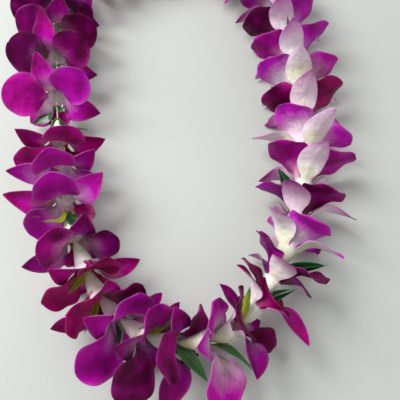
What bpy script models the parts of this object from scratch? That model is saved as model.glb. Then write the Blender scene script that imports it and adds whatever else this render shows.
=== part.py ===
"""Fresh flower lei: dendrobium orchid blossoms and small leaves strung on one tied cotton thread.

The lei lies flat on a table: +Z is up and the table is z = 0. Blossoms all face the same way along
the thread. Each is one thin-walled solid: a tube with a chin that the thread runs through, opening
into six segments (a dorsal sepal, two petals, two lateral sepals and a lip). Segments that reach
the table bend and lie along it. Each leaf is pierced near its stalk and lies across the thread.
"""

import math
import random

import bmesh
import bpy
import numpy as np
from mathutils import Matrix, Vector

MM = 0.001

# ---- driving dimensions, in millimetres ----
THREAD_DIAMETER = 1.0
THREAD_HEIGHT = 24.0
THREAD_POINTS = 120
THREAD_SIDES = 8
# The thread's closed route over the table, in the order in which the blossoms face.
THREAD_ROUTE = [
    (-104, 86), (-103, 44), (-99, 6), (-93, -31), (-87, -65), (-78, -98), (-66, -124), (-51, -150),
    (-30, -169), (-7, -178), (18, -179), (42, -170), (61, -151), (76, -128), (87, -105), (96, -77),
    (101, -44), (103, -8), (101, 30), (96, 65), (87, 102), (72, 135), (48, 165), (14, 182),
    (-26, 185), (-64, 172), (-90, 150), (-102, 124),
]

BORE_RADIUS = 1.45
TUBE_BACK = -18.0
TUBE_SHARES = (0.0, 0.5, 1.0)
MOUTH_RADIUS = 7.0
CHIN = 2.2
SEGMENT_THICKNESS = 0.8
LEAF_THICKNESS = 0.8
LEAF_EYE_RADIUS = 1.0
LEAF_RADIUS = 2.9
LEAF_START = 28.0
LEAF_TURNS_BY = 0.4
HEEL_WIDTH = 0.8
SLIMMEST = 0.5
# A segment starts to open just past its base and has opened by its middle. It is fully cupped
# before its middle and a little flatter at its tip. This near the table it bends to lie along it,
# and slides forward as it bends.
OPENING_STARTS = 0.05
OPENING_TAKES = 0.5
CUPPED_BY = 0.4
FLATTER_TIP = 0.35
FLATTEST = 2.0
LANDING = 7.0
SLIDE = 0.25
# How the tube widens towards its mouth, and how its chin swells towards its middle.
FLARE = 0.85
CHIN_SHARPNESS = 1.5
KNOT_RADIUS = 2.4
KNOT_LENGTH = 4.5
KNOT_THICKNESS = 0.7
TAIL_LENGTH = 11.0
TAIL_ANGLE = 70.0

# Each kind of segment: its length, its width and where it is widest, how slender its claw and how
# blunt its tip are, the angles from the flower's axis where it leaves the tube and where it has
# opened (added to the blossom's own), how much further its tip turns back, and how it is cupped.
SEGMENTS = {
    "sepal": {"sector": 40, "length": 38, "width": 21, "widest": 0.40, "waist": 1.0, "tip": 0.85,
              "claw": 9.0, "start": 30, "open": 6, "recurve": 14, "cup": (14, 42)},
    "petal": {"sector": 20, "length": 38, "width": 33, "widest": 0.56, "waist": 1.4, "tip": 0.50,
              "claw": 5.0, "start": 12, "open": 0, "recurve": 12, "cup": (10, 38)},
    "lip": {"sector": 20, "length": 27, "width": 19, "widest": 0.68, "waist": 1.5, "tip": 0.55,
            "claw": 5.0, "start": 8, "open": -32, "recurve": 34, "cup": (45, 85)},
}
# The six segments in order round the flower, each a sixth of a turn from the last. Each grows from
# the part of the tube's mouth that reaches its sector to either side of it.
FLOWER = ("sepal", "petal", "sepal", "lip", "sepal", "petal")
# The rows of a sheet: how far along it each is, and its share of the full width there.
ROWS = ((0.2, 0.68), (0.42, 0.92), (0.64, 0.96), (0.86, 1.0), (1.0, 1.0))
HEEL_ROWS = ((0.3, 1.0), (0.65, 1.0), (1.0, 1.0))
TAIL_ROWS = ((0.5, 1.0), (1.0, 1.0))

# How much smaller a segment stays where it is squeezed, under the flower and inside a bend, and how
# much further it spreads outside a bend.
UNDERNEATH = 0.3
BEND_SPAN = 20
INSIDE_BEND = 0.3
OUTSIDE_BEND = 0.35
# How much larger a blossom grows when its neighbours on the thread are this loose and not tight.
GROWTH = 0.07
TIGHT = 22
LOOSE = 28
# The differences between segments of one kind: their shares of the full length, and in degrees how
# far they have opened, how far they twist and how far they swing sideways.
LENGTHS = (0.90, 1.05)
OPENINGS = (-9, 9)
TWISTS = (-20, 20)
SWINGS = (-12, 12)
# How far a segment that points sideways twists to turn its face up, in degrees.
TURN_UP = 30

# Each blossom: its distance along the thread, the roll of its dorsal sepal from straight up towards
# the outside of the lei, how far its segments open, how much less the ones that point up have
# opened, how far it turns inwards and faces up, all in degrees, and the seed of its differences.
BLOSSOMS = [
    (0, -11, 84, 0, 0, 20, 31), (28, 10, 88, 0, -10, 30, 10), (68, 10, 90, 0, -4, 36, 54),
    (109, 36, 80, 10, 0, 14, 46), (130, -60, 80, 10, 0, 14, 3), (160, 60, 88, 0, 0, 32, 50),
    (192, -28, 78, 0, 0, 16, 2), (215, 28, 74, 0, -6, 8, 10), (238, -24, 74, 0, -6, 10, 34),
    (260, 26, 80, 0, -10, 16, 46), (282, 28, 82, 0, -14, 20, 12), (305, -32, 82, 0, -16, 22, 36),
    (328, 14, 76, 0, -16, 22, 352), (351, -62, 82, 0, -16, 24, 36), (374, -42, 80, 0, -14, 16, 12),
    (396, 0, 78, 4, -8, 6, 17), (421, 78, 80, 6, -4, -6, 19), (448, -24, 80, 8, 0, -2, 59),
    (476, 12, 78, 10, 0, -14, 23), (503, 30, 80, 8, 0, -18, 38), (531, -2, 76, 10, 0, -16, 2),
    (558, 0, 80, 10, 0, -18, 13), (586, 0, 78, 10, 0, -14, 30), (613, -6, 78, 10, 0, -10, 26),
    (640, 20, 78, 6, 0, -6, 1), (666, 32, 78, 4, 0, 0, 43), (692, 20, 80, 4, 0, 4, 24),
    (722, -46, 75, 4, 0, 8, 394), (775, -14, 80, 4, 0, -4, 306), (800, 16, 80, 4, 0, 0, 59),
    (826, 8, 80, 4, 0, 0, 41), (853, 6, 80, 4, 0, 4, 43), (881, -6, 77, 4, 0, 10, 300),
    (908, 0, 80, 4, 0, 8, 20),
]

# Each leaf: where the thread pierces it, its direction round the thread from straight up towards
# the outside, how far its blade and its stalk end reach from there, its width, the angle that it
# leans from the thread, and how far its face turns.
LEAVES = [
    (5, -72, 26, 6, 8, 50, 70), (38, -86, 34, 8, 13, 60, 80), (78, 96, 24, 5, 11, 72, -80),
    (90, -70, 31, 7, 12, 60, 25), (171, 46, 23, 5, 10, 78, -25), (216.4, 54, 25, 5, 8, 52, -60),
    (239.4, 70, 28, 6, 8, 46, -36), (261.4, 76, 28, 5, 10, 40, -21), (173, -38, 27, 5, 11, 68, 48),
    (306.4, 112, 35, 5, 10, 40, 60), (283.4, -56, 26, 6, 6, 50, 40),
    (330.4, 100, 39, 6, 11, 48, 25), (353.4, -34, 30, 6, 7, 48, 30), (375.4, 48, 28, 5, 8, 40, -36),
    (397.4, 66, 38, 6, 12, 54, -21), (454, -64, 34, 6, 12, 44, 48), (482, -94, 32, 6, 11, 50, 48),
    (509, 60, 32, 6, 11, 44, -40), (537, -76, 34, 6, 12, 44, 48), (564, 76, 34, 6, 10, 46, -36),
    (590, -6, 36, 6, 11, 42, 48), (646, -30, 34, 6, 12, 38, 50), (805, 62, 30, 6, 11, 50, -56),
    (911, -12, 33, 5, 11, 40, 20),
]
KNOT_STATION = 745

COLOURS = {
    "blossom": ((0.42, 0.01, 0.30, 1.0), 0.45),
    "leaf": ((0.02, 0.13, 0.03, 1.0), 0.35),
    "thread": ((0.80, 0.78, 0.70, 1.0), 0.85),
}


# ---- the thread's route ----
def closed_curve(points, per_span=60):
    """A smooth closed curve through the route's points, as a dense list of points."""
    p = np.array(points, float)
    before, after, after_2 = np.roll(p, 1, 0), np.roll(p, -1, 0), np.roll(p, -2, 0)
    t = np.linspace(0, 1, per_span, endpoint=False)[:, None, None]
    dense = 0.5 * (
        2 * p
        + (after - before) * t
        + (2 * before - 5 * p + 4 * after - after_2) * t**2
        + (3 * p - before - 3 * after + after_2) * t**3
    )
    return dense.transpose(1, 0, 2).reshape(-1, 2)


def measured(points):
    """The curve's points with height added, closed, and the distance along it to each of them."""
    flat = np.vstack([points, points[:1]])
    route = np.column_stack([flat, np.full(len(flat), THREAD_HEIGHT)])
    steps = np.linalg.norm(np.diff(route, axis=0), axis=1)
    return route, np.concatenate([[0], np.cumsum(steps)])


ROUTE, DISTANCE = measured(closed_curve(THREAD_ROUTE))
THREAD_LENGTH = DISTANCE[-1]


def thread_point(s):
    s = s % THREAD_LENGTH
    return np.array([np.interp(s, DISTANCE, ROUTE[:, axis]) for axis in range(3)])


def thread_direction(s, reach=4.0):
    return unit(thread_point(s + reach) - thread_point(s - reach))


# ---- small vector helpers ----
def unit(v):
    return v / np.linalg.norm(v)


def turned(v, axis, degrees):
    return np.array(Matrix.Rotation(math.radians(degrees), 3, Vector(axis)) @ Vector(v))


def smooth(x):
    x = min(max(x, 0.0), 1.0)
    return x * x * (3 - 2 * x)


# ---- one segment of a flower, or one leaf blade ----
def half_width(shape, t):
    power = math.log(0.5) / math.log(shape["widest"])
    swell = max(math.sin(math.pi * t**power), 0.0)
    swell **= shape["waist"] if t < shape["widest"] else shape["tip"]
    claw = shape["claw"] / 2 * (1 - t) ** 2
    return max(math.hypot(shape["width"] / 2 * swell, claw), SLIMMEST)


def midrib(root, axis, out, shape, open_angle, twist, swing, clear, steps=48, turn_by=1.0):
    """The line down a segment's middle, as (point, along, across, front) at each step.

    It leaves root close to the axis and opens away from it. Near the table it levels out, so that
    it lies along the table.
    """
    along_step = shape["length"] / steps
    place = np.array(root, float)
    side = np.cross(axis, out)
    line = []
    for i in range(steps + 1):
        t = i / steps
        angle = math.radians(
            shape["start"]
            + (open_angle - shape["start"]) * smooth((t - OPENING_STARTS) / OPENING_TAKES)
            + shape["recurve"] * t * t
        )
        outward = turned(out, axis, swing * t)
        along = math.sin(angle) * outward + math.cos(angle) * axis
        height = max(place[2] - clear, 0.0)
        if along[2] < -height / LANDING:
            along = unit(along + SLIDE * axis)
            level = np.array([along[0], along[1], 0.0])
            along = unit(unit(level) + np.array([0, 0, -height / LANDING]))
        flat = min(height / LANDING, 1.0)
        across = np.array([side[0], side[1], side[2] * flat])
        across = unit(across - along * (across @ along))
        front = np.cross(along, across)
        turn = math.radians(twist * min(t / turn_by, 1.0)) * flat
        across, front = (
            math.cos(turn) * across + math.sin(turn) * front,
            math.cos(turn) * front - math.sin(turn) * across,
        )
        line.append((place.copy(), along, across, front))
        place = place + along * along_step
    return line


def across_point(line, shape, t, v, clear):
    """The point of a segment's sheet at t along it and v, from -1 to 1, across it."""
    at = t * (len(line) - 1)
    i = min(int(at), len(line) - 2)
    share = at - i
    point, _, across, front = (
        line[i][k] * (1 - share) + line[i + 1][k] * share for k in range(4)
    )
    half = half_width(shape, t)
    bend = math.radians(FLATTEST + shape["cup"] * smooth(t / CUPPED_BY) * (1 - FLATTER_TIP * t))
    point = point + across * half * math.sin(v * bend) / bend
    point = point + front * half * (1 - math.cos(v * bend)) / bend
    point[2] = max(point[2], clear)
    return point


# ---- building meshes ----
def new_object(name, mesh_maker, colour):
    mesh = bpy.data.meshes.new(name)
    bm = bmesh.new()
    mesh_maker(bm)
    bm.to_mesh(mesh)
    bm.free()
    mesh.shade_smooth()
    mesh.set_sharp_from_angle(angle=math.radians(50))
    obj = bpy.data.objects.new(name, mesh)
    obj.data.materials.append(material(colour))
    bpy.context.scene.collection.objects.link(obj)
    return obj


def material(name):
    if name in bpy.data.materials:
        return bpy.data.materials[name]
    colour, roughness = COLOURS[name]
    made = bpy.data.materials.new(name)
    made.use_nodes = True
    shader = made.node_tree.nodes["Principled BSDF"]
    shader.inputs["Base Color"].default_value = colour
    shader.inputs["Roughness"].default_value = roughness
    shader.inputs["Metallic"].default_value = 0.0
    return made


def ring(bm, centre, axis, first, radii, angles):
    """Vertices about centre, each at its own radius and angle from the direction first."""
    second = np.cross(axis, first)
    found = []
    for radius, degrees in zip(radii, angles):
        a = math.radians(degrees)
        point = centre + radius * (math.cos(a) * first + math.sin(a) * second)
        found.append(bm.verts.new(Vector(point) * MM))
    return found


def bridge(bm, lower, upper):
    count = len(lower)
    for k in range(count):
        after = (k + 1) % count
        bm.faces.new((lower[k], lower[after], upper[after], upper[k]))


def blade(bm, rim, k, line, shape, rows, clear):
    """Sheet of a segment that grows from the rim's kth three vertices."""
    previous = [rim[2 * k], rim[2 * k + 1], rim[(2 * k + 2) % len(rim)]]
    for t, share in rows:
        row = [
            bm.verts.new(Vector(across_point(line, shape, t, v, clear)) * MM)
            for v in (-share, 0, share)
        ]
        for half in (0, 1):
            bm.faces.new((previous[half], previous[half + 1], row[half + 1], row[half]))
        previous = row


def thicken(bm, thickness):
    """Turns the sheet into a closed solid, half on either side of it, that stays off the table."""
    bmesh.ops.recalc_face_normals(bm, faces=bm.faces)
    bm.normal_update()
    moves = [v.normal * v.calc_shell_factor() * thickness / 2 * MM for v in bm.verts]
    for vertex, move in zip(bm.verts, moves):
        vertex.co += move
    bmesh.ops.solidify(bm, geom=bm.faces[:], thickness=thickness * MM)
    for vertex in bm.verts:
        vertex.co.z = max(vertex.co.z, 0.0)
    bmesh.ops.recalc_face_normals(bm, faces=bm.faces)


# ---- the pieces ----
def frame_at(station):
    """The thread's direction, the level direction across it and the one that points up."""
    axis = thread_direction(station)
    level = unit(np.cross(axis, (0, 0, 1)))
    return axis, level, np.cross(level, axis)


def room(station, out):
    """The share of its full length that a segment has room for in the direction out."""
    before, after = thread_direction(station - BEND_SPAN), thread_direction(station + BEND_SPAN)
    inward = unit(np.cross((0, 0, 1), thread_direction(station)))
    bend = math.acos(min(before @ after, 1.0))
    squeezed = UNDERNEATH * smooth(-out[2]) + INSIDE_BEND * bend * smooth(out @ inward)
    return 1 - squeezed + OUTSIDE_BEND * bend * smooth(-out @ inward)


def growth(number):
    """How much larger a blossom is than in the tightest places, for the room its neighbours leave."""
    stations = [BLOSSOMS[(number + step) % len(BLOSSOMS)][0] for step in (-1, 0, 1)]
    gap = min((after - before) % THREAD_LENGTH for before, after in zip(stations, stations[1:]))
    return 1 + GROWTH * smooth((gap - TIGHT) / (LOOSE - TIGHT))


def corners(sectors):
    """The angles of a rim's vertices: where each segment begins, and its middle."""
    return [60 * k + turn for k, sector in enumerate(sectors) for turn in (-sector, 0)]


FLOWER_CORNERS = corners([SEGMENTS[kind]["sector"] for kind in FLOWER])
EVEN_CORNERS = corners([30] * 6)


def tube(bm, station, back, front):
    """The blossom's tube, from its narrow back to its mouth, whose vertices it returns."""
    below = [max(-math.cos(math.radians(angle)), 0.0) ** 2 for angle in FLOWER_CORNERS]
    rows = []
    for share in TUBE_SHARES:
        axis = unit(back[0] * (1 - share) + front[0] * share)
        first = back[1] * (1 - share) + front[1] * share
        first = unit(first - axis * (first @ axis))
        centre = thread_point(station + TUBE_BACK * (1 - share))
        radius = BORE_RADIUS + (MOUTH_RADIUS - BORE_RADIUS) * share**FLARE
        swell = CHIN * max(math.sin(math.pi * share), 0.0) ** CHIN_SHARPNESS
        radii = [radius + swell * low for low in below]
        rows.append(ring(bm, centre, axis, first, radii, FLOWER_CORNERS))
    for lower, upper in zip(rows, rows[1:]):
        bridge(bm, lower, upper)
    return rows[-1]


def blossom(number):
    station, roll, open_angle, droop, sideways, nod, seed = BLOSSOMS[number]
    chance = random.Random(100 * number + seed)
    axis, level, _ = frame_at(station)
    back_axis, _, back_up = frame_at(station + TUBE_BACK)
    axis = turned(turned(axis, (0, 0, 1), sideways), level, nod)
    level = unit(np.cross(axis, (0, 0, 1)))
    dorsal = turned(np.cross(level, axis), axis, roll)
    back_dorsal = turned(back_up, back_axis, roll)
    clear = SEGMENT_THICKNESS / 2
    size = growth(number)

    def make(bm):
        mouth = tube(bm, station, (back_axis, back_dorsal), (axis, dorsal))
        for k, kind in enumerate(FLOWER):
            shape = dict(SEGMENTS[kind])
            out = turned(dorsal, axis, 60 * k)
            root = thread_point(station) + out * MOUTH_RADIUS
            share = room(station, out)
            shape["length"] *= chance.uniform(*LENGTHS) * share * size
            shape["width"] *= max(share, 1.0) * size
            shape["cup"] = chance.uniform(*shape["cup"])
            opened = open_angle + shape["open"] - droop * smooth(out[2]) + chance.uniform(*OPENINGS)
            twist = chance.uniform(*TWISTS) - TURN_UP * share**3 * np.cross(axis, out)[2]
            swing = chance.uniform(*SWINGS)
            line = midrib(root, axis, out, shape, opened, twist, swing, clear)
            blade(bm, mouth, k, line, shape, ROWS, clear)
        thicken(bm, SEGMENT_THICKNESS)

    return new_object(f"blossom_{number + 1:02d}", make, "blossom")


def leaf(number):
    station, direction, length, back, width, lean, twist = LEAVES[number]
    axis, _, up = frame_at(station)
    out = turned(up, axis, direction)
    clear = LEAF_THICKNESS / 2
    tip = {"length": length, "width": width, "widest": 0.38, "waist": 0.7, "tip": 0.95,
           "claw": 4.0, "start": LEAF_START, "recurve": 12, "cup": 24}
    heel = {"length": back, "width": width * HEEL_WIDTH, "widest": 0.28, "waist": 0.7, "tip": 1.4,
            "claw": 4.0, "start": LEAF_START, "recurve": 6, "cup": 20}

    def make(bm):
        centre = thread_point(station)
        eye = ring(bm, centre, axis, out, [LEAF_EYE_RADIUS] * len(EVEN_CORNERS), EVEN_CORNERS)
        rim = ring(bm, centre, axis, out, [LEAF_RADIUS] * len(EVEN_CORNERS), EVEN_CORNERS)
        bridge(bm, eye, rim)
        for side, form, rows, turn in ((0, tip, ROWS, twist), (3, heel, HEEL_ROWS, -twist)):
            away = turned(out, axis, 60 * side)
            root = centre + away * LEAF_RADIUS
            line = midrib(root, axis, away, form, lean, turn, 0, clear, turn_by=LEAF_TURNS_BY)
            blade(bm, rim, side, line, form, rows, clear)
        thicken(bm, LEAF_THICKNESS)

    return new_object(f"leaf_{number + 1:02d}", make, "leaf")


def thread():
    """The thread as a round tube along its whole closed route."""
    curve = bpy.data.curves.new("lei_thread", "CURVE")
    curve.dimensions = "3D"
    curve.bevel_depth = THREAD_DIAMETER / 2 * MM
    curve.bevel_resolution = THREAD_SIDES // 2 - 2
    spline = curve.splines.new("POLY")
    spline.points.add(THREAD_POINTS - 1)
    for k, point in enumerate(spline.points):
        point.co = (*thread_point(THREAD_LENGTH * k / THREAD_POINTS) * MM, 1.0)
    spline.use_cyclic_u = True
    curve.materials.append(material("thread"))
    obj = bpy.data.objects.new("lei_thread", curve)
    bpy.context.scene.collection.objects.link(obj)
    return obj


def knot():
    station = KNOT_STATION
    axis, _, up = frame_at(station)
    tail = {"length": TAIL_LENGTH, "width": 1.2, "widest": 0.5, "waist": 0.3, "tip": 0.3,
            "claw": 1.4, "start": 80, "open": 0, "recurve": 0, "cup": 10}

    def make(bm):
        ends = [
            ring(bm, thread_point(station + side * KNOT_LENGTH / 2), axis, up,
                 [BORE_RADIUS] * len(EVEN_CORNERS), EVEN_CORNERS)
            for side in (-1, 1)
        ]
        middle = ring(bm, thread_point(station), axis, up, [KNOT_RADIUS] * len(EVEN_CORNERS), EVEN_CORNERS)
        bridge(bm, ends[0], middle)
        bridge(bm, middle, ends[1])
        for k in (1, 5):
            out = turned(up, axis, 60 * k)
            root = thread_point(station + KNOT_LENGTH / 2) + out * BORE_RADIUS
            line = midrib(root, axis, out, tail, TAIL_ANGLE, 0, 0, THREAD_DIAMETER)
            blade(bm, ends[1], k, line, tail, TAIL_ROWS, THREAD_DIAMETER)
        thicken(bm, KNOT_THICKNESS)

    return new_object("thread_knot", make, "thread")


def main():
    for obj in list(bpy.data.objects):
        bpy.data.objects.remove(obj)
    thread()
    knot()
    for number in range(len(BLOSSOMS)):
        blossom(number)
    for number in range(len(LEAVES)):
        leaf(number)


main()
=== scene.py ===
"""Fresh flower lei: dendrobium orchid blossoms and leaves strung on one tied cotton thread.

The lei lies flat on a table, z = 0. Each blossom is built from thin sheets: a short tube that the
thread runs through, six petal-like segments that grow from the tube's mouth, and a waxy column.
Lengths are in millimetres until a mesh is written, and in metres after that.
"""

import math
import random

import bpy
import numpy as np
from bpy.props import FloatProperty, FloatVectorProperty, PointerProperty
from mathutils import Matrix, Vector


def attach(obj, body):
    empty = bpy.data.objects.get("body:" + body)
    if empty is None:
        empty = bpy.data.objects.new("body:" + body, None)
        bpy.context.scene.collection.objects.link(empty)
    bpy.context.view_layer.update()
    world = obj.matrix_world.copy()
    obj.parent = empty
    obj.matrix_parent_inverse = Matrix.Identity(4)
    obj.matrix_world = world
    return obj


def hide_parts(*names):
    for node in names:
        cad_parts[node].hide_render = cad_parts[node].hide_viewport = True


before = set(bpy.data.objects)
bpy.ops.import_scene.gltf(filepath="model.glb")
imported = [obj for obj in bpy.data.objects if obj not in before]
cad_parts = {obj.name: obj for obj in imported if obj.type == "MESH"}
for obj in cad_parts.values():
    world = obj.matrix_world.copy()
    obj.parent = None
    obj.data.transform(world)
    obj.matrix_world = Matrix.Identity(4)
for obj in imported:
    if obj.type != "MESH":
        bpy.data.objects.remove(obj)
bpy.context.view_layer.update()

bl_info = {
    "name": "Flower Lei",
    "version": (1, 0, 0),
    "blender": (4, 5, 0),
    "location": "3D View > Sidebar > Lei",
    "description": "Builds a strung orchid lei, its table, its light and its camera",
    "category": "Object",
}

MM = 0.001

# ---- the lei's layout, in millimetres and degrees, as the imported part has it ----
THREAD_HEIGHT = 24.0
# The thread's closed route over the table, in the order in which the blossoms face.
THREAD_ROUTE = [
    (-104, 86), (-103, 44), (-99, 6), (-93, -31), (-87, -65), (-78, -98), (-66, -124), (-51, -150),
    (-30, -169), (-7, -178), (18, -179), (42, -170), (61, -151), (76, -128), (87, -105), (96, -77),
    (101, -44), (103, -8), (101, 30), (96, 65), (87, 102), (72, 135), (48, 165), (14, 182),
    (-26, 185), (-64, 172), (-90, 150), (-102, 124),
]

# A blossom's tube: its bore where the thread goes in, how far that lies behind its mouth, and how
# wide its mouth is. It widens towards its mouth and has a chin that swells towards its middle.
BORE_RADIUS = 1.45
TUBE_BACK = -18.0
MOUTH_RADIUS = 7.0
FLARE = 0.85
CHIN = 2.2
CHIN_SHARPNESS = 1.5

# Each kind of segment: how far round the mouth it reaches to either side, its length, its width
# and where it is widest, how slender its claw and how blunt its tip are, the angles from the
# flower's axis where it leaves the tube and where it has opened (added to the blossom's own), how
# much further its tip turns back, how it is cupped, how many waves its margin has and how high
# they are, and how deep the groove down its middle is.
SEGMENTS = {
    "sepal": {"sector": 40, "length": 38, "width": 21, "widest": 0.40, "waist": 1.0, "tip": 0.85,
              "claw": 9.0, "start": 30, "open": 6, "recurve": 14, "cup": (14, 42),
              "waves": 1.4, "wave": 0.7, "groove": 0.5},
    "petal": {"sector": 20, "length": 38, "width": 33, "widest": 0.56, "waist": 1.4, "tip": 0.50,
              "claw": 5.0, "start": 12, "open": 0, "recurve": 12, "cup": (10, 38),
              "waves": 2.2, "wave": 1.4, "groove": 0.4},
    "lip": {"sector": 20, "length": 27, "width": 19, "widest": 0.68, "waist": 1.5, "tip": 0.55,
            "claw": 5.0, "start": 8, "open": -32, "recurve": 34, "cup": (45, 85),
            "waves": 3.5, "wave": 1.1, "groove": 0.6},
}
# The six segments in order round the flower, each a sixth of a turn from the last.
FLOWER = ("sepal", "petal", "sepal", "lip", "sepal", "petal")

# A leaf's blade, and the heel at its stalk end, told in the same way. Both grow from the rim of
# the eye that the thread pierces, reach this far round it to either side, and have turned their
# faces by this share of their length.
BLADE = {"widest": 0.38, "waist": 0.7, "tip": 0.95, "claw": 4.0, "start": 28, "recurve": 12,
         "cup": 24, "waves": 1.6, "wave": 0.5, "groove": 0.6}
HEEL = {"widest": 0.28, "waist": 0.7, "tip": 1.4, "claw": 4.0, "start": 28, "recurve": 6,
        "cup": 20, "groove": 0.5, "slimmest": 0.7}
HEEL_WIDTH = 0.8
LEAF_EYE_RADIUS = 1.0
LEAF_RADIUS = 2.9
LEAF_SECTOR = 30
LEAF_TURNS_BY = 0.4
# Where the eye's grid closes, in degrees round it from the blade: on the bare rim.
EYE_SEAM = 150

# A segment starts to open just past its base and has opened by its middle. It is fully cupped
# before its middle and a little flatter at its tip. This near the table it bends to lie along it,
# and slides forward as it bends.
OPENING_STARTS = 0.05
OPENING_TAKES = 0.5
CUPPED_BY = 0.4
FLATTER_TIP = 0.35
FLATTEST = 2.0
LANDING = 7.0
SLIDE = 0.25
# Half the width that is left at a segment's very tip.
SLIMMEST = 0.1
# How narrow the groove is, as a share of half the width, how closely a margin's waves keep to the
# margin, and how far from its claw they have grown to their full height.
GROOVE_WIDTH = 0.13
WAVE_DECAY = 2.5
WAVES_GROWN = 0.5

# How much smaller a segment stays where it is squeezed, under the flower and inside a bend, and how
# much further it spreads outside a bend. The bend is measured over this much thread either way.
UNDERNEATH = 0.3
INSIDE_BEND = 0.3
OUTSIDE_BEND = 0.35
BEND_SPAN = 20
# How much larger a blossom grows when its neighbours on the thread are this loose and not tight.
GROWTH = 0.07
TIGHT = 22
LOOSE = 28
# The differences between segments of one kind: their shares of the full length, and in degrees how
# far they have opened, how far they twist and how far they swing sideways.
LENGTHS = (0.90, 1.05)
OPENINGS = (-9, 9)
TWISTS = (-20, 20)
SWINGS = (-12, 12)
# How far a segment that points sideways twists to turn its face up, in degrees.
TURN_UP = 30

# Each blossom: its distance along the thread, the roll of its dorsal sepal from straight up towards
# the outside of the lei, how far its segments open, how much less the ones that point up have
# opened, how far it turns inwards and faces up, all in degrees, and the seed of its differences.
BLOSSOMS = [
    (0, -11, 84, 0, 0, 20, 31), (28, 10, 88, 0, -10, 30, 10), (68, 10, 90, 0, -4, 36, 54),
    (109, 36, 80, 10, 0, 14, 46), (130, -60, 80, 10, 0, 14, 3), (160, 60, 88, 0, 0, 32, 50),
    (192, -28, 78, 0, 0, 16, 2), (215, 28, 74, 0, -6, 8, 10), (238, -24, 74, 0, -6, 10, 34),
    (260, 26, 80, 0, -10, 16, 46), (282, 28, 82, 0, -14, 20, 12), (305, -32, 82, 0, -16, 22, 36),
    (328, 14, 76, 0, -16, 22, 352), (351, -62, 82, 0, -16, 24, 36), (374, -42, 80, 0, -14, 16, 12),
    (396, 0, 78, 4, -8, 6, 17), (421, 78, 80, 6, -4, -6, 19), (448, -24, 80, 8, 0, -2, 59),
    (476, 12, 78, 10, 0, -14, 23), (503, 30, 80, 8, 0, -18, 38), (531, -2, 76, 10, 0, -16, 2),
    (558, 0, 80, 10, 0, -18, 13), (586, 0, 78, 10, 0, -14, 30), (613, -6, 78, 10, 0, -10, 26),
    (640, 20, 78, 6, 0, -6, 1), (666, 32, 78, 4, 0, 0, 43), (692, 20, 80, 4, 0, 4, 24),
    (722, -46, 75, 4, 0, 8, 394), (775, -14, 80, 4, 0, -4, 306), (800, 16, 80, 4, 0, 0, 59),
    (826, 8, 80, 4, 0, 0, 41), (853, 6, 80, 4, 0, 4, 43), (881, -6, 77, 4, 0, 10, 300),
    (908, 0, 80, 4, 0, 8, 20),
]

# Each leaf: where the thread pierces it, its direction round the thread from straight up towards
# the outside, how far its blade and its stalk end reach from there, its width, the angle that it
# leans from the thread, and how far its face turns.
LEAVES = [
    (5, -72, 26, 6, 8, 50, 70), (38, -86, 34, 8, 13, 60, 80), (78, 96, 24, 5, 11, 72, -80),
    (90, -70, 31, 7, 12, 60, 25), (171, 46, 23, 5, 10, 78, -25), (216.4, 54, 25, 5, 8, 52, -60),
    (239.4, 70, 28, 6, 8, 46, -36), (261.4, 76, 28, 5, 10, 40, -21), (173, -38, 27, 5, 11, 68, 48),
    (306.4, 112, 35, 5, 10, 40, 60), (283.4, -56, 26, 6, 6, 50, 40),
    (330.4, 100, 39, 6, 11, 48, 25), (353.4, -34, 30, 6, 7, 48, 30), (375.4, 48, 28, 5, 8, 40, -36),
    (397.4, 66, 38, 6, 12, 54, -21), (454, -64, 34, 6, 12, 44, 48), (482, -94, 32, 6, 11, 50, 48),
    (509, 60, 32, 6, 11, 44, -40), (537, -76, 34, 6, 12, 44, 48), (564, 76, 34, 6, 10, 46, -36),
    (590, -6, 36, 6, 11, 42, 48), (646, -30, 34, 6, 12, 38, 50), (805, 62, 30, 6, 11, 50, -56),
    (911, -12, 33, 5, 11, 40, 20),
]
# The leaves that have turned yellow-green, by their place in LEAVES.
YELLOWED = (0, 4, 5, 6, 10, 12, 18)

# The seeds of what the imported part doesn't have: the margins' waves and the tones.
SEGMENT_SEEDS = 1000
LEAF_SEEDS = 3000

# The column in a flower's throat: how far its middle lies behind the mouth, half its length, half
# its width, how much wider its cap is, its height above the tube's axis, how much further out its
# cap leans, and how flat it is.
COLUMN_BACK = 2.6
COLUMN_REACH = 2.9
COLUMN_WIDTH = 1.55
COLUMN_CAP = 0.18
COLUMN_RISE = 2.7
COLUMN_LEAN = 0.5
COLUMN_FLATNESS = 0.9
COLUMN_SEGMENTS = 14
COLUMN_RINGS = 10

# ---- the cotton thread and its knot, in millimetres and degrees ----
# How far each ply runs from the thread's middle, as a share of its radius.
PLY_OFFSET = 0.92
# The points along each ply and its turns about the others.
THREAD_STEPS = 1600
THREAD_TURNS = 230
KNOT_STEPS = 160
KNOT_TURNS = 16
TAIL_STEPS = 24
TAIL_TURNS = 3
# The knot is a trefoil: the mean radius of its loops, how far they swing in and out, and how far
# they reach along the thread.
KNOT_STATION = 745
KNOT_LOOPS = 1.25
KNOT_SWING = 0.45
KNOT_REACH = 1.35
# Its two cut ends: their directions round the thread, where they leave the knot along the thread
# and from its middle, their length, their angles from the thread at their two ends, and how far
# they droop.
TAIL_DIRECTIONS = (60, 300)
TAIL_ALONG = 1.8
TAIL_OUT = 0.87
TAIL_LENGTH = 11.0
TAIL_ANGLES = (80, 70)
TAIL_DROOP = 1.2

# ---- tones ----
# How pale a blossom's tissues stay towards their base, how far they are darkened to maroon, which is
# partly the flower's own colour and partly painted shade, and how far they are warmed to crimson.
MOODS = {"lilac": (1.0, 0.0, 0.0), "violet": (0.5, 0.0, 0.05), "magenta": (0.5, 0.2, 0.4),
         "crimson": (0.5, 0.3, 1.0), "maroon": (0.55, 0.65, 0.35), "dark": (0.3, 0.95, 0.3)}
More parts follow.
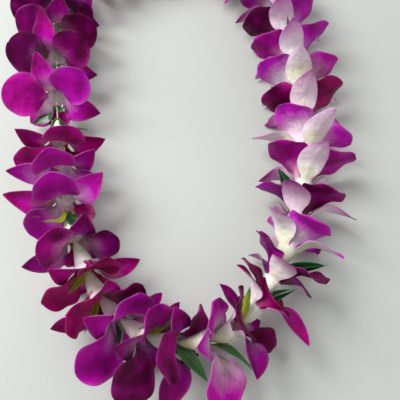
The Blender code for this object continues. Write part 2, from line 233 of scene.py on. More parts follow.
# The mood of each blossom, in their order on the thread.
STRUNG = (
    "maroon maroon violet crimson violet magenta maroon crimson crimson violet maroon dark "
    "lilac maroon crimson dark lilac maroon magenta lilac crimson lilac violet maroon "
    "violet magenta maroon violet crimson dark magenta violet maroon dark"
).split()
# How far one segment's three tones stray from its blossom's.
TONE_SPREADS = (0.25, 0.35, 0.45)
PLAIN_TONE = (0.5, 0.0, 0.0)
# Where a leaf's eye lies in its colours, which run from its stalk end to its tip.
EYE_PLACE = 0.3

# ---- tissue and leaf patterns, in millimetres ----
# The width of the fine mottling in the tissue, of the soft patches of painted shade, which are as
# wide as half a petal, and of the mottling on a leaf.
MOTTLE = 7.0
SHADE_PATCH = 18.0
LEAF_MOTTLE = 9.0
# How strongly the patches of painted shade darken the tissue, and the noise level where they start.
SHADE_PATCHES = 2.2
SHADE_PATCH_LEVEL = 0.46
# How far paleness, mottling and distance from a segment's middle shift its colours along it.
PALE_SHIFT = -0.8
MOTTLE_SHIFT = 0.22
SIDE_SHIFT = 0.16
SIDE_LEVEL = 0.45
LEAF_SHIFT = 0.5
# The veins side by side in a segment and in a leaf, which are fewer and coarser than real ones, so
# that they show; how far they waver, how narrow they are and how deep they lie.
VEINS = 9.0
VEIN_WAVER = 0.05
VEIN_SHARPNESS = 3.0
VEIN_DEPTH = 0.10
LEAF_VEINS = 14.0
LEAF_VEIN_DEPTH = 0.04
# The height of the crumpling between the veins.
CRUMPLE = 2.6
# How closely a thin margin's colour keeps to the edge of a petal and of a leaf, and how many times
# as wide as its midrib a leaf is.
RIM_SHARPNESS = 9.0
LEAF_RIM_SHARPNESS = 12.0
MIDRIBS = 8.0
# How strongly veins, margins, crimson and maroon colour the tissue, the maroon being partly the
# flower's own colour and partly painted shade, and how much pigment a sepal holds on its outer
# and inner faces when a petal holds 1.
VEIN_TINT = 0.15
RIM_TINT = 0.55
CRIMSON_TINT = 0.75
MAROON_AND_SHADE_TINT = 0.9
SEPAL_OUTSIDE = 0.15
SEPAL_INSIDE = 0.7
# The same for a leaf's midrib and margin; the margin is partly the leaf's own pale edge and partly a
# painted highlight along it.
RIB_TINT = 0.7
MARGIN_HIGHLIGHT_TINT = 0.6
# Tufts of cotton fibre, drawn as coarse as they need to show, and how high they stand.
COTTON_TUFT = 1.1
TUFT_HEIGHT = 0.2
# The drift of the table's colour.
TABLE_DRIFT = 200.0

# The places of a blossom's materials in its list: its outer faces, its inner faces, which lie this
# far after them, and the column. A leaf's underside comes after its top.
OUTSIDE = {"petal": 0, "sepal": 1, "lip": 2, "tube": 3}
INSIDE = 4
COLUMN = 8
LEAF_UNDERSIDE = 1

# ---- how finely the sheets are divided ----
ACROSS = 12
ALONG = 24
TUBE_ROWS = 8
LEAF_ALONG = 28
HEEL_ALONG = 8
EYE_ROWS = 3
MIDRIB_STEPS = 48
# How much closer the rows of a segment and of a leaf lie towards the tip, the share of a sheet
# that leads over from the rim it grows from, the distance at which edges are welded, in
# millimetres, and the angle up to which faces are shaded as one, in degrees.
SEGMENT_CROWDING = 1.5
LEAF_CROWDING = 1.3
JOIN = 0.18
WELD = 0.02
SMOOTH_ANGLE = 55

# ---- the stage, in metres and degrees ----
SKY_STRENGTH = 0.5
# Each lamp's place, power in watts and size.
WINDOW = ((-0.9, 0.5, 1.2), 33.0, 0.9)
BOUNCE = ((0.9, -0.9, 1.0), 3.5, 1.2)
# The point that the camera looks at, its height over the table as an angle, its focal length in
# millimetres and how near it starts to see.
CAMERA_AIM = (0.019, -0.072, 0.020)
CAMERA_TILT = 70
CAMERA_LENS = 45.0
CAMERA_NEAR = 0.01


def linear(code):
    """An sRGB hex colour as linear RGBA."""
    values = [int(code[i:i + 2], 16) / 255 for i in (1, 3, 5)]
    return (*[v / 12.92 if v <= 0.04045 else ((v + 0.055) / 1.055) ** 2.4 for v in values], 1.0)


# ---- the thread's route ----
def closed_curve(points, per_span=60):
    """A smooth closed curve through the route's points, as a dense list of points."""
    p = np.array(points, float)
    before, after, after_2 = np.roll(p, 1, 0), np.roll(p, -1, 0), np.roll(p, -2, 0)
    t = np.linspace(0, 1, per_span, endpoint=False)[:, None, None]
    dense = 0.5 * (
        2 * p
        + (after - before) * t
        + (2 * before - 5 * p + 4 * after - after_2) * t**2
        + (3 * p - before - 3 * after + after_2) * t**3
    )
    return dense.transpose(1, 0, 2).reshape(-1, 2)


def measured(points):
    """The curve's points with height added, closed, and the distance along it to each of them."""
    flat = np.vstack([points, points[:1]])
    route = np.column_stack([flat, np.full(len(flat), THREAD_HEIGHT)])
    steps = np.linalg.norm(np.diff(route, axis=0), axis=1)
    return route, np.concatenate([[0], np.cumsum(steps)])


ROUTE, DISTANCE = measured(closed_curve(THREAD_ROUTE))
THREAD_LENGTH = DISTANCE[-1]


def thread_point(s):
    s = s % THREAD_LENGTH
    return np.array([np.interp(s, DISTANCE, ROUTE[:, axis]) for axis in range(3)])


def thread_direction(s, reach=4.0):
    return unit(thread_point(s + reach) - thread_point(s - reach))


# ---- small vector helpers ----
def unit(v):
    return v / np.linalg.norm(v)


def turned(v, axis, degrees):
    return np.array(Matrix.Rotation(math.radians(degrees), 3, Vector(axis)) @ Vector(v))


def lifted(points, least):
    """The points, with none of them lower than least."""
    points[:, 2] = np.maximum(points[:, 2], least)
    return points


def smooth(x):
    x = np.clip(x, 0.0, 1.0)
    return x * x * (3 - 2 * x)


def frame_at(station):
    """The thread's direction, the level direction across it and the one that points up."""
    axis = thread_direction(station)
    level = unit(np.cross(axis, (0, 0, 1)))
    return axis, level, np.cross(level, axis)


# ---- the surface of one segment or leaf blade ----
def half_width(shape, t):
    power = math.log(0.5) / math.log(shape["widest"])
    swell = np.maximum(np.sin(math.pi * t**power), 0.0)
    swell = swell ** np.where(t < shape["widest"], shape["waist"], shape["tip"])
    claw = shape["claw"] / 2 * (1 - t) ** 2
    return np.maximum(np.hypot(shape["width"] / 2 * swell, claw), shape.get("slimmest", SLIMMEST))


def midrib(root, axis, out, shape, open_angle, twist, swing, clear, turn_by=1.0):
    """The line down a segment's middle: its points, and along, across and front at each of them.

    It leaves root close to the axis and opens away from it. Near the table it levels out, so that
    it lies along the table.
    """
    along_step = shape["length"] / MIDRIB_STEPS
    place = np.array(root, float)
    side = np.cross(axis, out)
    line = []
    for i in range(MIDRIB_STEPS + 1):
        t = i / MIDRIB_STEPS
        angle = math.radians(
            shape["start"]
            + (open_angle - shape["start"]) * smooth((t - OPENING_STARTS) / OPENING_TAKES)
            + shape["recurve"] * t * t
        )
        outward = turned(out, axis, swing * t)
        along = math.sin(angle) * outward + math.cos(angle) * axis
        height = max(place[2] - clear, 0.0)
        if along[2] < -height / LANDING:
            along = unit(along + SLIDE * axis)
            level = np.array([along[0], along[1], 0.0])
            along = unit(unit(level) + np.array([0, 0, -height / LANDING]))
        flat = min(height / LANDING, 1.0)
        across = np.array([side[0], side[1], side[2] * flat])
        across = unit(across - along * (across @ along))
        front = np.cross(along, across)
        turn = math.radians(twist * min(t / turn_by, 1.0)) * flat
        across, front = (
            math.cos(turn) * across + math.sin(turn) * front,
            math.cos(turn) * front - math.sin(turn) * across,
        )
        line.append((place.copy(), along, across, front))
        place = place + along * along_step
    return np.array(line)


def part_way(line, t):
    """A midrib's point, along, across and front at each t."""
    at = t * (len(line) - 1)
    i = np.minimum(at.astype(int), len(line) - 2)
    share = (at - i)[:, None]
    return [line[i, k] * (1 - share) + line[i + 1, k] * share for k in range(4)]


def sheet_points(line, shape, t, v, clear):
    """Points of a segment's sheet at t along it and v, from -1 to 1, across it."""
    point, _, across, front = part_way(line, t)
    half = half_width(shape, t)
    bend = np.radians(FLATTEST + shape["cup"] * smooth(t / CUPPED_BY) * (1 - FLATTER_TIP * t))
    point = point + across * (half * np.sin(v * bend) / bend)[:, None]
    rise = half * (1 - np.cos(v * bend)) / bend
    if "wave" in shape:
        rise += shape["wave"] * margin_waves(shape, t, v)
    rise -= shape["groove"] * np.exp(-((v / GROOVE_WIDTH) ** 2)) * np.sin(math.pi * t)
    return lifted(point + front * rise[:, None], clear)


def margin_waves(shape, t, v):
    """The gentle waves of a segment's margins, which die out towards its middle and its claw."""
    left, right = (np.sin(2 * math.pi * (shape["waves"] * t + p)) for p in shape["phases"])
    return np.where(v < 0, left, right) * np.abs(v) ** WAVE_DECAY * smooth(t / WAVES_GROWN)


def rooted(points, line, t, rim, clear):
    """Leads a sheet's base over from the points of the rim that it grows from."""
    carried = rim + part_way(line, t)[0] - line[0, 0]
    share = smooth(t / JOIN)[:, None]
    return lifted(carried * (1 - share) + points * share, clear)


# ---- meshes ----
def deselect():
    bpy.ops.object.select_all(action="DESELECT")


def only(obj):
    deselect()
    obj.select_set(True)
    bpy.context.view_layer.objects.active = obj


def placed(name, data):
    """A new object that holds data, in the scene."""
    made = bpy.data.objects.new(name, data)
    bpy.context.scene.collection.objects.link(made)
    return made


def edited(obj, operator, **settings):
    """Runs one operator in edit mode on the whole of an object's mesh."""
    only(obj)
    bpy.ops.object.mode_set(mode="EDIT")
    bpy.ops.mesh.select_all(action="SELECT")
    operator(**settings)
    bpy.ops.object.mode_set(mode="OBJECT")


def flat_grid(name, columns, rows):
    """A flat square grid from -1 to 1, for a sheet to be shaped from."""
    deselect()
    bpy.ops.mesh.primitive_grid_add(x_subdivisions=columns, y_subdivisions=rows, size=2)
    made = bpy.context.object
    made.name = made.data.name = name
    return made


def copied(pattern, name):
    made = placed(name, pattern.data.copy())
    made.data.name = name
    return made


def coordinates(obj):
    flat = np.empty(len(obj.data.vertices) * 3)
    obj.data.vertices.foreach_get("co", flat)
    return flat.reshape(-1, 3)


def grid_places(obj):
    """A flat grid's vertices: from -1 to 1 across it, and from 0 to 1 along it."""
    flat = coordinates(obj)
    return flat[:, 0], (flat[:, 1] + 1) / 2


def write_sheet(obj, points, u, t, slot, tone):
    """Moves a grid's vertices to points in millimetres and writes its map, slot and tone."""
    mesh = obj.data
    mesh.vertices.foreach_set("co", (points * MM).ravel())
    corners = np.empty(len(mesh.loops), int)
    mesh.loops.foreach_get("vertex_index", corners)
    mesh.uv_layers[0].data.foreach_set("uv", np.column_stack([u, t])[corners].ravel())
    mesh.polygons.foreach_set("material_index", np.full(len(mesh.polygons), slot, int))
    layer = mesh.attributes.new("tone", "FLOAT_VECTOR", "POINT")
    layer.data.foreach_set("vector", np.tile(tone, len(mesh.vertices)))
    mesh.update()


def joined(objects, name, materials=()):
    """Joins objects into one, all with the same list of materials."""
    deselect()
    for obj in objects:
        obj.select_set(True)
        if not obj.data.materials:
            for material in materials:
                obj.data.materials.append(material)
    bpy.context.view_layer.objects.active = objects[0]
    bpy.ops.object.join()
    made = bpy.context.object
    made.name = made.data.name = name
    return made


def thicken(obj, thickness, offset):
    """Gives a sheet its thickness, half on either side, and its other side's materials."""
    only(obj)
    solid = obj.modifiers.new("thickness", "SOLIDIFY")
    solid.thickness = thickness
    solid.offset = 0.0
    solid.use_even_offset = False
    solid.thickness_clamp = 1.0
    solid.material_offset = offset
    solid.material_offset_rim = offset
    bpy.ops.object.modifier_apply(modifier=solid.name)


def finished(obj, node):
    """Shades a piece, keeps it above the table, hangs it on the root body and hides the imported part
    that it stands for.
    """
    only(obj)
    bpy.ops.object.shade_smooth_by_angle(angle=math.radians(SMOOTH_ANGLE))
    obj.data.vertices.foreach_set("co", lifted(coordinates(obj), 0.0).ravel())
    obj.data.update()
    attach(obj, "root")
    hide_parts(node)


def arc(centre, axis, first, radius, degrees):
    """Points on a circle about centre, at angles from the direction first."""
    second = np.cross(axis, first)
    a = np.radians(degrees)[:, None]
    return centre + radius * (np.cos(a) * first + np.sin(a) * second)


# ---- materials ----
def fill(tree, node, inputs):
    """Gives a node's inputs their values, or links them to other nodes.

    A whole node stands for its first output.
    """
    for key, value in inputs.items():
        if isinstance(value, bpy.types.Node):
            value = next(output for output in value.outputs if output.enabled)
        if isinstance(value, bpy.types.NodeSocket):
            tree.links.new(value, node.inputs[key])
        else:
            node.inputs[key].default_value = value


def add(tree, kind, inputs, stops=(), **settings):
    """Adds a node with its settings, its inputs and, for a colour ramp, its (place, colour) stops."""
    made = tree.nodes.new("ShaderNode" + kind)
    for key, value in settings.items():
        setattr(made, key, value)
    fill(tree, made, inputs)
    for i, (place, colour) in enumerate(stops):
        keys = made.color_ramp.elements
        key = keys[i] if i < len(keys) else keys.new(1.0)
        key.position = place
        key.color = colour
    return made


def new_material(name):
    made = bpy.data.materials.new(name)
    made.use_nodes = True
    tree = made.node_tree
    return made, tree, tree.nodes["Principled BSDF"]


def mottled_material(name, size, detail=3.0):
    """A new material, with soft noise in object space whose mottles are size millimetres wide."""
    made, tree, shader = new_material(name)
    where = add(tree, "TexCoord", {}).outputs["Object"]
    mottle = {"Vector": where, "Scale": 1 / (size * MM), "Detail": detail}
    return made, tree, shader, add(tree, "TexNoise", mottle)


def sheet_map(tree):
    """A sheet's own map: the place across it, how far that is from its middle, and along it."""
    place = add(tree, "UVMap", {}, uv_map="UVMap")
    across, along, _ = add(tree, "SeparateXYZ", {0: place}).outputs
    side = add(tree, "Math", {0: across, 1: 2.0, 2: -1.0}, operation="MULTIPLY_ADD")
    side = add(tree, "Math", {0: side}, operation="ABSOLUTE")
    return across, side, along


def ripples(tree, across, count):
    """A wave that rises and falls count times across a sheet."""
    turns = add(tree, "Math", {0: across, 1: 2 * math.pi * count}, operation="MULTIPLY")
    return add(tree, "Math", {0: turns}, operation="SINE")


def moved_along(tree, along, shifts):
    """The place along a sheet, moved by each (source, weight, level) with weight (source - level)."""
    for source, weight, level in shifts:
        shift = add(tree, "Math", {0: source, 1: weight, 2: -weight * level},
                    operation="MULTIPLY_ADD")
        along = add(tree, "Math", {0: along, 1: shift}, operation="ADD")
    return add(tree, "Math", {0: along, 1: 0.0}, operation="ADD", use_clamp=True)


def tinted(tree, colour, tints):
    """Lays tints over a colour, each given as (share, strength, tint, blend)."""
    for share, strength, tint, blend in tints:
        share = add(tree, "Math", {0: share, 1: strength}, operation="MULTIPLY")
        colour = add(tree, "Mix", {0: share, 6: colour, 7: tint}, data_type="RGBA",
                     blend_type=blend)
    return colour


def tissue(c, name, stops, rim, vein, pigment=1.0):
    """Living petal tissue: thin, moist and finely veined from its base to its tip.

    Its colour runs from base to tip, shifted by how pale the segment is, and turns at its margin.
    The blossom's tone then darkens it to maroon, which is partly the flower's own colour and partly
    painted shade, or warms it to crimson, as far as the tissue holds pigment. Soft random patches of
    painted shade darken it further. It is mostly water, so it has water's IOR, but its skin is
    softly matt. Light that sinks in comes back out a little way off, which gives the glow of a thin
    wet petal.
    """
    made, tree, shader, mottle = mottled_material(name, MOTTLE)
    across, side, along = sheet_map(tree)
    tone = add(tree, "Attribute", {}, attribute_name="tone").outputs["Vector"]
    pale, deep, warm = add(tree, "SeparateXYZ", {0: tone}).outputs
    place = moved_along(tree, along, (
        (pale, PALE_SHIFT, 0.5), (mottle, MOTTLE_SHIFT, 0.5), (side, SIDE_SHIFT, SIDE_LEVEL)))
    colour = add(tree, "ValToRGB", {"Fac": place}, stops)
    # Painted shade darkens the tissue in soft random patches, so that no petal is one flat colour.
    where = add(tree, "TexCoord", {}).outputs["Object"]
    shade_patch = add(tree, "TexNoise", {"Vector": where, "Scale": 1 / (SHADE_PATCH * MM), "Detail": 1.0})
    shade_patch = add(tree, "Math", {0: shade_patch, 1: SHADE_PATCHES, 2: -SHADE_PATCHES * SHADE_PATCH_LEVEL},
                operation="MULTIPLY_ADD")
    deep = add(tree, "Math", {0: deep, 1: shade_patch}, operation="ADD", use_clamp=True)
    # The veins run from base to tip, a little wavy, so they are lines of equal place across.
    wavy = add(tree, "Math", {0: mottle, 1: VEIN_WAVER, 2: across}, operation="MULTIPLY_ADD")
    veins = ripples(tree, wavy, VEINS)
    veins = add(tree, "Math", {0: veins, 1: 0.0}, operation="MAXIMUM")
    veins = add(tree, "Math", {0: veins, 1: VEIN_SHARPNESS}, operation="POWER")
    edge = add(tree, "Math", {0: side, 1: RIM_SHARPNESS}, operation="POWER")
    colour = tinted(tree, colour, (
        (veins, VEIN_TINT, vein, "MIX"), (edge, RIM_TINT, rim, "MIX"),
        (warm, CRIMSON_TINT * pigment, c.crimson_tint, "MULTIPLY"),
        # Maroon: partly the flower's own colour and partly painted shade, deepest in the shade
        # patches.
        (deep, MAROON_AND_SHADE_TINT * pigment, c.maroon_and_shade_tint, "MULTIPLY")))
    height = add(tree, "Math", {0: mottle, 1: CRUMPLE * MM}, operation="MULTIPLY")
    height = add(tree, "Math", {0: veins, 1: -VEIN_DEPTH * MM, 2: height},
                 operation="MULTIPLY_ADD")
    bump = add(tree, "Bump", {"Height": height, "Strength": 0.6, "Distance": 1.0})
    fill(tree, shader, {
        "Base Color": colour, "Roughness": 0.48, "IOR": 1.33, "Specular IOR Level": 0.14,
        "Subsurface Weight": 0.12, "Subsurface Radius": (0.0012, 0.0006, 0.0012),
        "Subsurface Scale": 1.0, "Normal": bump})
    return made


def waxy(name, stops):
    """Firm waxy tissue, such as the column's: pale, smooth and translucent, like candle wax."""
    made, tree, shader = new_material(name)
    _, _, along = sheet_map(tree)
    colour = add(tree, "ValToRGB", {"Fac": along}, stops)
    fill(tree, shader, {
        "Base Color": colour, "Roughness": 0.3, "Subsurface Weight": 0.25,
        "Subsurface Radius": (0.002, 0.0015, 0.001)})
    return made


def leaf_blade(name, stops, rib, margin, roughness):
    """Leaf blade: green flesh under a thin clear cuticle, which gives it its gloss.

    It has a paler midrib, a thin pale margin, partly a painted highlight along its glossy edge, and
    fine parallel veins, which break up the gloss.
    """
    made, tree, shader, mottle = mottled_material(name, LEAF_MOTTLE)
    across, side, along = sheet_map(tree)
    place = moved_along(tree, along, ((mottle, LEAF_SHIFT, 0.5),))
    colour = add(tree, "ValToRGB", {"Fac": place}, stops)
    middle = add(tree, "Math", {0: side, 1: -MIDRIBS, 2: 1.0},
                 operation="MULTIPLY_ADD", use_clamp=True)
    edge = add(tree, "Math", {0: side, 1: LEAF_RIM_SHARPNESS}, operation="POWER")
    colour = tinted(tree, colour, (
        (middle, RIB_TINT, rib, "MIX"), (edge, MARGIN_HIGHLIGHT_TINT, margin, "MIX")))
    height = {0: ripples(tree, across, LEAF_VEINS), 1: LEAF_VEIN_DEPTH * MM}
    height = add(tree, "Math", height, operation="MULTIPLY")
    bump = add(tree, "Bump", {"Height": height, "Strength": 0.5, "Distance": 1.0})
    fill(tree, shader, {
        "Base Color": colour, "Roughness": roughness, "IOR": 1.45, "Coat Weight": 0.25,
        "Coat Roughness": 0.2, "Normal": bump})
    return made


def flower_materials(c):
    """The tissues of a blossom: the outer faces, then the inner faces, then the column."""
    petal = (c.petal_rim, c.petal_vein)
    sepal = (c.sepal_rim, c.sepal_vein)
    lip = (c.petal_rim, c.lip_vein)
    return [
        # The back of a petal: violet-magenta, which pales where the petal leaves the tube.
        tissue(c, "petal_outside_tissue", [(0.0, c.petal_base), (0.18, c.petal_back_pale),
               (0.38, c.petal_back), (0.7, c.petal_back_deep), (1.0, c.petal_back)], *petal),
        # The back of a sepal: nearly white, with lilac spreading down from its tip.
        tissue(c, "sepal_outside_tissue", [(0.0, c.tube_green), (0.12, c.sepal_white),
               (0.5, c.sepal_pale), (0.78, c.sepal_lilac), (1.0, c.sepal_tip)], *sepal,
               pigment=SEPAL_OUTSIDE),
        # The back of the lip: a greenish base under magenta.
        tissue(c, "lip_outside_tissue", [(0.0, c.tube_green), (0.3, c.lip_pale), (0.6, c.lip_pink),
               (1.0, c.lip_deep)], *lip),
        # The tube: cream-white at its mouth, green where it is narrow, and without pigment.
        tissue(c, "tube_tissue", [(0.0, c.tube_back), (0.4, c.tube_green), (1.0, c.tube_white)],
               c.tube_white, c.tube_back, pigment=0.0),
        # The face of a petal: the strongest violet-magenta, round a pale base.
        tissue(c, "petal_inside_tissue", [(0.0, c.petal_base), (0.2, c.petal_back_pale),
               (0.42, c.petal), (0.7, c.petal_deep), (1.0, c.petal)], *petal),
        # The face of a sepal: as strong as a petal's, but it stays pale further from its base.
        tissue(c, "sepal_inside_tissue", [(0.0, c.petal_base), (0.26, c.petal_back_pale),
               (0.55, c.petal), (0.8, c.sepal_deep), (1.0, c.sepal_deep)], *petal,
               pigment=SEPAL_INSIDE),
        # The face of the lip: a cream throat, a red blush, then magenta with a paler margin.
        tissue(c, "lip_inside_tissue", [(0.0, c.lip_throat), (0.2, c.lip_blush), (0.4, c.lip_deep),
               (0.75, c.lip_pink), (1.0, c.lip_pale)], *lip),
        # The inside of the tube: green in its depth and white at its mouth.
        tissue(c, "throat_tissue", [(0.0, c.tube_back), (0.6, c.tube_white), (1.0, c.petal_base)],
               c.tube_white, c.sepal_vein, pigment=0.0),
        waxy("column_wax", [(0.0, c.column_white), (0.7, c.column_white), (1.0, c.column_cap)]),
    ]


def leaf_materials(c):
    """The two faces of a green leaf and of a yellowed one; the undersides are paler and duller."""
    green = [(0.0, c.leaf_young), (0.5, c.leaf_green), (1.0, c.leaf_dark)]
    under = [(0.0, c.leaf_under), (1.0, c.leaf_young)]
    lime = [(0.0, c.leaf_yellow), (0.5, c.leaf_lime), (1.0, c.leaf_young)]
    return {
        "green": [leaf_blade("leaf_blade_top", green, c.leaf_rib, c.leaf_margin_highlight, 0.28),
                  leaf_blade("leaf_blade_underside", under, c.leaf_under, c.leaf_margin_highlight, 0.5)],
        "lime": [leaf_blade("yellowed_leaf_top", lime, c.leaf_yellow, c.leaf_yellow, 0.35),
                 leaf_blade("yellowed_leaf_underside", lime, c.leaf_yellow, c.leaf_yellow, 0.5)],
    }


def cotton_twine(c):
    """Spun cotton: dull and off-white, with loose fibres that catch light as a faint sheen."""
    if "cotton_twine" in bpy.data.materials:
        return bpy.data.materials["cotton_twine"]
    made, tree, shader, tufts = mottled_material("cotton_twine", COTTON_TUFT)
    colour = add(tree, "ValToRGB", {"Fac": tufts}, [(0.3, c.cotton_shade), (0.7, c.cotton)])
    bump = add(tree, "Bump", {"Height": tufts, "Strength": 0.4, "Distance": TUFT_HEIGHT * MM})
    fill(tree, shader, {"Base Color": colour, "Roughness": 0.9, "Sheen Weight": 0.3, "Normal": bump})
    return made


def table_laminate(c):
    """Matt laminate: even and pale, with a drift of tone so slow that it reads as soft light."""
    made, tree, shader, drift = mottled_material("matt_table_laminate", TABLE_DRIFT, detail=2.0)
    colour = add(tree, "ValToRGB", {"Fac": drift}, [(0.3, c.table_shade), (0.7, c.table)])
    fill(tree, shader, {"Base Color": colour, "Roughness": 0.6})
    return made


# ---- the pieces ----
def room(station, out):
    """The share of its full length that a segment has room for in the direction out."""
    before, after = thread_direction(station - BEND_SPAN), thread_direction(station + BEND_SPAN)
    inward = unit(np.cross((0, 0, 1), thread_direction(station)))
    bend = math.acos(min(before @ after, 1.0))
    squeezed = UNDERNEATH * smooth(-out[2]) + INSIDE_BEND * bend * smooth(out @ inward)
    return float(1 - squeezed + OUTSIDE_BEND * bend * smooth(-out @ inward))


def growth(number):
    """How much larger a blossom is than in the tightest places, for the room its neighbours leave."""
    stations = [BLOSSOMS[(number + step) % len(BLOSSOMS)][0] for step in (-1, 0, 1)]
    gap = min((after - before) % THREAD_LENGTH for before, after in zip(stations, stations[1:]))
    return float(1 + GROWTH * smooth((gap - TIGHT) / (LOOSE - TIGHT)))


def segment_sheet(pattern, name, number, k, blossom, chance):
    """One of a blossom's six segments, grown from its sixth of the tube's mouth."""
    station, axis, dorsal, open_angle, droop, tones, clear = blossom
    kind = FLOWER[k]
    shape = dict(SEGMENTS[kind])
    out = turned(dorsal, axis, 60 * k)
    centre = thread_point(station)
    share = room(station, out)
    size = growth(number)
    shape["length"] *= chance.uniform(*LENGTHS) * share * size
    shape["width"] *= max(share, 1.0) * size
    shape["cup"] = chance.uniform(*shape["cup"])
    opened = open_angle + shape["open"] - droop * float(smooth(out[2])) + chance.uniform(*OPENINGS)
    twist = chance.uniform(*TWISTS) - TURN_UP * share**3 * np.cross(axis, out)[2]
    swing = chance.uniform(*SWINGS)
    fine = random.Random(SEGMENT_SEEDS * number + k)
    shape["phases"] = (fine.random(), fine.random())
    line = midrib(centre + out * MOUTH_RADIUS, axis, out, shape, opened, twist, swing, clear)
    sheet = copied(pattern, name)
    v, s = grid_places(sheet)
    t = 1 - (1 - s) ** SEGMENT_CROWDING
    mouth = arc(centre, axis, out, MOUTH_RADIUS, shape["sector"] * v)
    points = rooted(sheet_points(line, shape, t, v, clear), line, t, mouth, clear)
    tone = [min(max(middle + fine.uniform(-spread, spread), 0.0), 1.0)
            for middle, spread in zip(tones, TONE_SPREADS)]
    write_sheet(sheet, points, (v + 1) / 2, t, OUTSIDE[kind], tone)
    return sheet


def tube_sheet(pattern, name, station, back, front, clear, tone):
    """The blossom's tube: round at its mouth, narrow at its back, with a chin below the lip."""
    sheet = copied(pattern, name)
    v, s = grid_places(sheet)
    column = np.rint((v + 1) / 2 * 6 * ACROSS).astype(int)
    k = np.minimum(column // ACROSS, 5)
    sectors = np.array([SEGMENTS[kind]["sector"] for kind in FLOWER])
    angle = 60 * k + sectors[k] * (2 * (column - k * ACROSS) / ACROSS - 1)
    row = np.rint(s * TUBE_ROWS).astype(int)
    points = np.empty((len(v), 3))
    for i in range(TUBE_ROWS + 1):
        share = i / TUBE_ROWS
        axis = unit(back[0] * (1 - share) + front[0] * share)
        first = back[1] * (1 - share) + front[1] * share
        first = unit(first - axis * (first @ axis))
        centre = thread_point(station + TUBE_BACK * (1 - share))
        here = row == i
        below = np.maximum(-np.cos(np.radians(angle[here])), 0.0) ** 2
        radius = BORE_RADIUS + (MOUTH_RADIUS - BORE_RADIUS) * share**FLARE
        radius = radius + CHIN * below * math.sin(math.pi * share) ** CHIN_SHARPNESS
        points[here] = arc(centre, axis, first, radius[:, None], angle[here])
    points = lifted(points, clear)
    write_sheet(sheet, points, (v + 1) / 2, row / TUBE_ROWS, OUTSIDE["tube"], tone)
    return sheet


def column_body(name, station, axis, dorsal, tone):
    """The column in the flower's throat: a short waxy nub with a blunt cap."""
    deselect()
    bpy.ops.mesh.primitive_uv_sphere_add(segments=COLUMN_SEGMENTS, ring_count=COLUMN_RINGS, radius=1)
    made = bpy.context.object
    made.name = made.data.name = name
    x, y, z = coordinates(made).T
    along = COLUMN_REACH * z - COLUMN_BACK
    width = COLUMN_WIDTH * (1 + COLUMN_CAP * np.clip(z, 0, 1))
    rise = COLUMN_RISE + COLUMN_LEAN * z + COLUMN_FLATNESS * width * x
    points = (thread_point(station) + np.outer(along, axis) + np.outer(rise, dorsal)
              + np.outer(width * y, np.cross(axis, dorsal)))
    write_sheet(made, points, np.full(len(z), 0.5), (z + 1) / 2, COLUMN, tone)
    edited(made, bpy.ops.mesh.normals_make_consistent, inside=False)
    return made


def make_blossom(number, patterns, materials, thickness):
    station, roll, open_angle, droop, sideways, nod, seed = BLOSSOMS[number]
    name = f"blossom_{number + 1:02d}"
    chance = random.Random(100 * number + seed)
    axis, level, _ = frame_at(station)
    back_axis, _, back_up = frame_at(station + TUBE_BACK)
    axis = turned(turned(axis, (0, 0, 1), sideways), level, nod)
    level = unit(np.cross(axis, (0, 0, 1)))
    dorsal = turned(np.cross(level, axis), axis, roll)
    back_dorsal = turned(back_up, back_axis, roll)
    clear = thickness / MM / 2
    tones = MOODS[STRUNG[number]]
    tone = (tones[0], 0.0, 0.0)
    blossom = (station, axis, dorsal, open_angle, droop, tones, clear)
    parts = [segment_sheet(patterns["segment"], f"{name}_{k}", number, k, blossom, chance)
             for k in range(len(FLOWER))]
    back, front = (back_axis, back_dorsal), (axis, dorsal)
    parts.append(tube_sheet(patterns["tube"], f"{name}_tube", station, back, front, clear, tone))
    made = joined(parts, f"{name}_tissue", materials)
    edited(made, bpy.ops.mesh.remove_doubles, threshold=WELD * MM)
    thicken(made, thickness, INSIDE)
    column = column_body(f"{name}_column", station, axis, dorsal, tone)
    made = joined([made, column], f"{name}_tissue", materials)
    finished(made, name)


def make_leaf(number, patterns, materials, thickness):
    station, direction, length, back, width, lean, twist = LEAVES[number]
    name = f"leaf_{number + 1:02d}"
    axis, _, up = frame_at(station)
    out = turned(up, axis, direction)
    clear = thickness / MM / 2
    centre = thread_point(station)
    fine = random.Random(LEAF_SEEDS + number)
    phases = (fine.random(), fine.random())
    blade = {**BLADE, "length": length, "width": width, "phases": phases}
    heel = {**HEEL, "length": back, "width": width * HEEL_WIDTH}
    parts = []
    for part, shape, turn, away, end in (
        ("leaf", blade, twist, out, 1.0), ("stalk", heel, -twist, -out, 0.0)
    ):
        root = centre + away * LEAF_RADIUS
        line = midrib(root, axis, away, shape, lean, turn, 0, clear, LEAF_TURNS_BY)
        sheet = copied(patterns[part], f"{name}_{part}")
        v, s = grid_places(sheet)
        t = 1 - (1 - s) ** LEAF_CROWDING
        rim = arc(centre, axis, away, LEAF_RADIUS, LEAF_SECTOR * v)
        points = rooted(sheet_points(line, shape, t, v, clear), line, t, rim, clear)
        write_sheet(sheet, points, (v + 1) / 2, EYE_PLACE + (end - EYE_PLACE) * t, 0, PLAIN_TONE)
        parts.append(sheet)
    eye = copied(patterns["eye"], f"{name}_eye")
    v, s = grid_places(eye)
    radius = LEAF_EYE_RADIUS + (LEAF_RADIUS - LEAF_EYE_RADIUS) * s
    points = arc(centre, axis, out, radius[:, None], 180 * v + EYE_SEAM)
    write_sheet(eye, points, np.full(len(v), EYE_PLACE), np.full(len(v), EYE_PLACE), 0, PLAIN_TONE)
    parts.append(eye)
    made = joined(parts, f"{name}_blade", materials["lime" if number in YELLOWED else "green"])
    edited(made, bpy.ops.mesh.remove_doubles, threshold=WELD * MM)
    thicken(made, thickness, LEAF_UNDERSIDE)
    finished(made, name)


